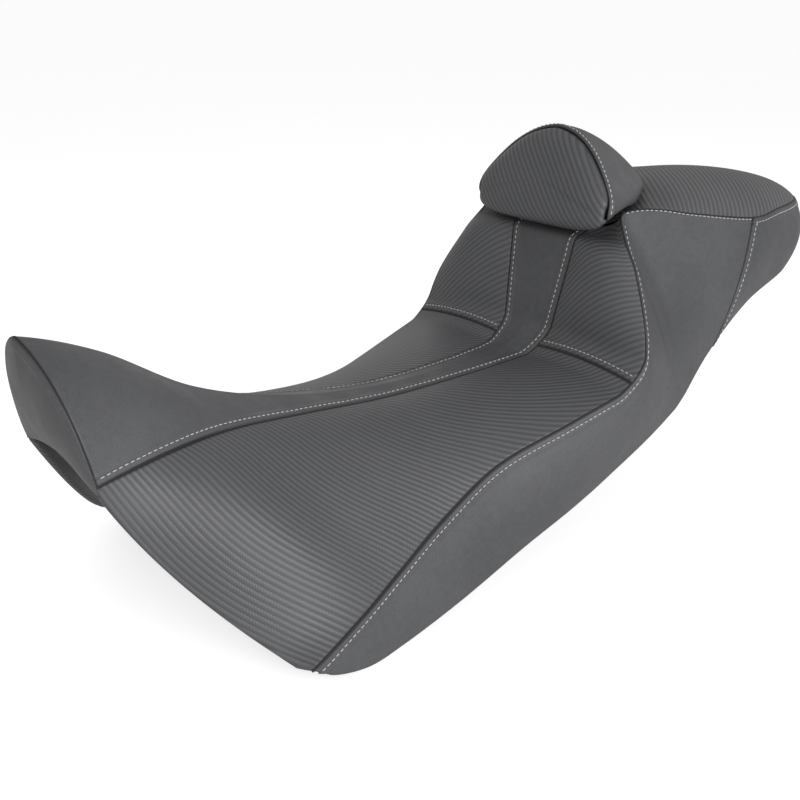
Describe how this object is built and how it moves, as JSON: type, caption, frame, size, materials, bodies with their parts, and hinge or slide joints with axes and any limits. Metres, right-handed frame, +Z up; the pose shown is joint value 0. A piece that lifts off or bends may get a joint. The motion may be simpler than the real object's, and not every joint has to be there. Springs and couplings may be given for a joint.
{
  "type": "motorcycle seat",
  "caption": "One-piece step-up motorcycle seat with plain and carbon-look vinyl panels, a moulded base pan, and a folding, height-adjustable driver backrest.",
  "frame": {"origin": "centre of the flat underside of the rubber block that rests on the motorcycle's frame, under the crease between the rider's seat and the lumbar wall", "axes": "+X to the rider's left as the model is viewed from its front (the seat is symmetric about x = 0), +Y to the rear along the seat, +Z up"},
  "size_m": [0.3512, 0.8385, 0.3513],
  "materials": {
    "plain_vinyl": "charcoal grey seat vinyl with a fine leather grain, satin",
    "carbon_look_vinyl": "charcoal grey seat vinyl embossed with diagonal carbon-fibre ribs, satin",
    "seat_foam": "moulded polyurethane foam",
    "moulded_plastic": "black moulded plastic, finely textured",
    "rubber": "black moulded rubber",
    "zinc_plated_steel": "zinc-plated steel, satin",
    "black_coated_steel": "black powder-coated steel"
  },
  "bodies": {
    "seat": {"center_cover": "plain_vinyl", "nose_front_cover": "plain_vinyl", "side_cover_left": "plain_vinyl", "side_cover_right": "plain_vinyl", "tail_cover": "plain_vinyl", "rider_panel_left": "carbon_look_vinyl", "rider_panel_right": "carbon_look_vinyl", "lumbar_panel_left": "carbon_look_vinyl", "lumbar_panel_right": "carbon_look_vinyl", "passenger_top_cover": "carbon_look_vinyl", "driver_foam": "seat_foam", "passenger_foam": "seat_foam", "base_pan": "moulded_plastic", "post_slot_bezel": "moulded_plastic", "frame_rest_block": "rubber", "pan_bumper_left_1": "rubber", "pan_bumper_left_2": "rubber", "pan_bumper_left_3": "rubber", "pan_bumper_right_1": "rubber", "pan_bumper_right_2": "rubber", "pan_bumper_right_3": "rubber", "plunger_housing": "zinc_plated_steel", "latch_loop": "zinc_plated_steel", "receiver_bolt_1": "zinc_plated_steel", "receiver_bolt_2": "zinc_plated_steel", "receiver_bolt_3": "zinc_plated_steel", "receiver_bolt_4": "zinc_plated_steel", "tongue_bolt_1": "zinc_plated_steel", "tongue_bolt_2": "zinc_plated_steel", "latch_bolt_1": "zinc_plated_steel", "latch_bolt_2": "zinc_plated_steel", "backrest_receiver_tube": "black_coated_steel", "receiver_foot_plate": "black_coated_steel", "front_tongue": "black_coated_steel", "latch_plate": "black_coated_steel"},
    "post": {"backrest_post": "black_coated_steel", "hinge_arm_left": "black_coated_steel", "hinge_arm_right": "black_coated_steel", "hinge_pin": "zinc_plated_steel", "hinge_pin_clip": "zinc_plated_steel"},
    "pad": {"pad_face_cover": "carbon_look_vinyl", "pad_foam": "seat_foam", "pad_boxing_cover": "plain_vinyl", "pad_back_plate": "black_coated_steel", "pad_hinge_ear_left": "black_coated_steel", "pad_hinge_ear_right": "black_coated_steel"},
    "plunger": {"plunger_knob": "moulded_plastic"}
  },
  "joints": [
    {"name": "backrest_height", "type": "slide", "parent": "seat", "child": "post", "axis": [0, 0, 1], "range_m": [0, 0.05]},
    {"name": "backrest_fold", "type": "hinge", "parent": "post", "child": "pad", "pos_m": [0, 0.019, 0.185], "axis": [1, 0, 0], "range_deg": [0, 75]},
    {"name": "height_release", "type": "slide", "parent": "seat", "child": "plunger", "axis": [0, 1, 0], "range_m": [0, 0.006], "stiffness_N_per_m": 400, "springref_m": -0.004}
  ]
}
